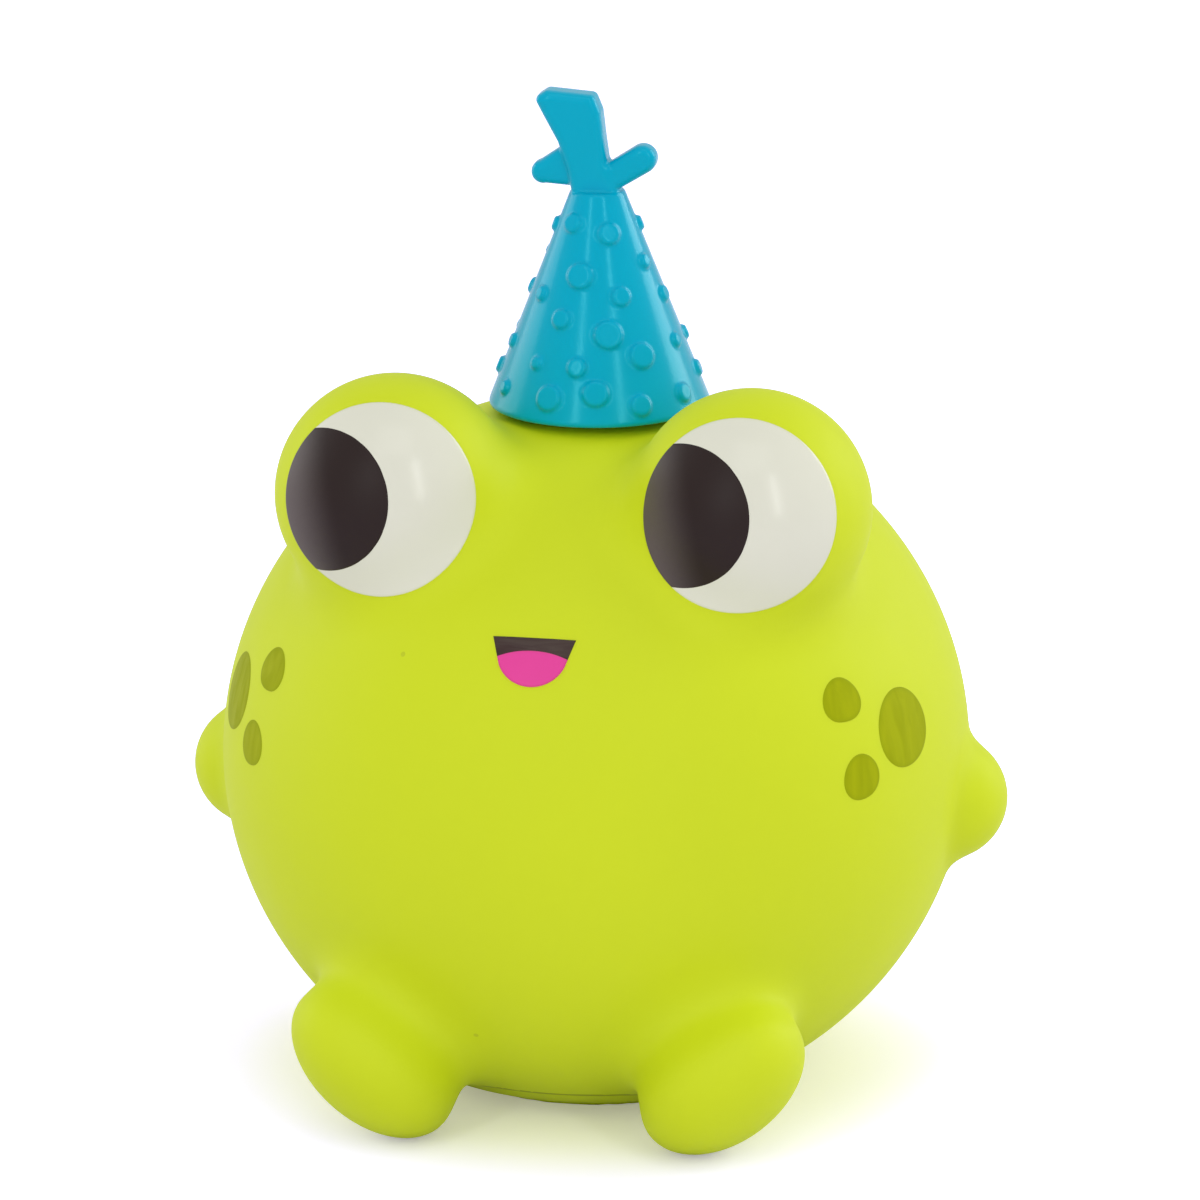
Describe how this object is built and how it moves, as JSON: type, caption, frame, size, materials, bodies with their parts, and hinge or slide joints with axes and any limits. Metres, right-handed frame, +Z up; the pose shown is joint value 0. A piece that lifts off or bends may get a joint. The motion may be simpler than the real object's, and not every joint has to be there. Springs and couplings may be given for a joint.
{
  "type": "squeaky bath toy",
  "caption": "Round hollow vinyl frog with bulging eyes and a cone party hat; squeezing its body drives air through a reed squeaker in the base.",
  "frame": {"origin": "on the floor under the middle of the round body", "axes": "+Z up; the face looks along -Y; +X is the toy's own left side"},
  "size_m": [0.0842, 0.076, 0.1019],
  "materials": {
    "lime_vinyl": "satin soft vinyl",
    "eye_paint": "glossy paint",
    "pupil_paint": "satin paint",
    "mouth_paint": "glossy paint",
    "tongue_paint": "satin paint",
    "spot_paint": "thin brushed paint",
    "hat_vinyl": "glossy soft vinyl",
    "plug_plastic": "moulded",
    "squeaker_plastic": "moulded",
    "reed_film": "thin film"
  },
  "bodies": {
    "body": {"body_shell": "lime_vinyl", "left_eye_white": "eye_paint", "right_eye_white": "eye_paint", "left_pupil": "pupil_paint", "right_pupil": "pupil_paint", "mouth": "mouth_paint", "tongue": "tongue_paint", "left_cheek_spots": "spot_paint", "right_cheek_spots": "spot_paint", "squeaker_barrel": "squeaker_plastic", "squeaker_cap": "squeaker_plastic", "reed_block": "squeaker_plastic", "reed_clamp": "squeaker_plastic"},
    "crown": {"hat_plug": "plug_plastic"},
    "hat": {"party_hat": "hat_vinyl"},
    "reed": {"reed": "reed_film"}
  },
  "joints": [
    {"name": "squeeze", "type": "slide", "parent": "body", "child": "crown", "axis": [0, 0, -1], "range_m": [0, 0.016], "stiffness_N_per_m": 1500, "deforming": ["body_shell", "left_eye_white", "right_eye_white", "left_pupil", "right_pupil", "mouth", "tongue", "left_cheek_spots", "right_cheek_spots"]},
    {"name": "hat_turn", "type": "hinge", "parent": "crown", "child": "hat", "pos_m": [0.0003, 0, 0.06975], "axis": [-0.0087, 0, 1], "continuous": true},
    {"name": "reed_flutter", "type": "hinge", "parent": "body", "child": "reed", "pos_m": [0, 0.00035, 0.0094], "axis": [1, 0, 0], "range_deg": [0, 6], "stiffness_Nm_per_rad": 0.0002}
  ]
}
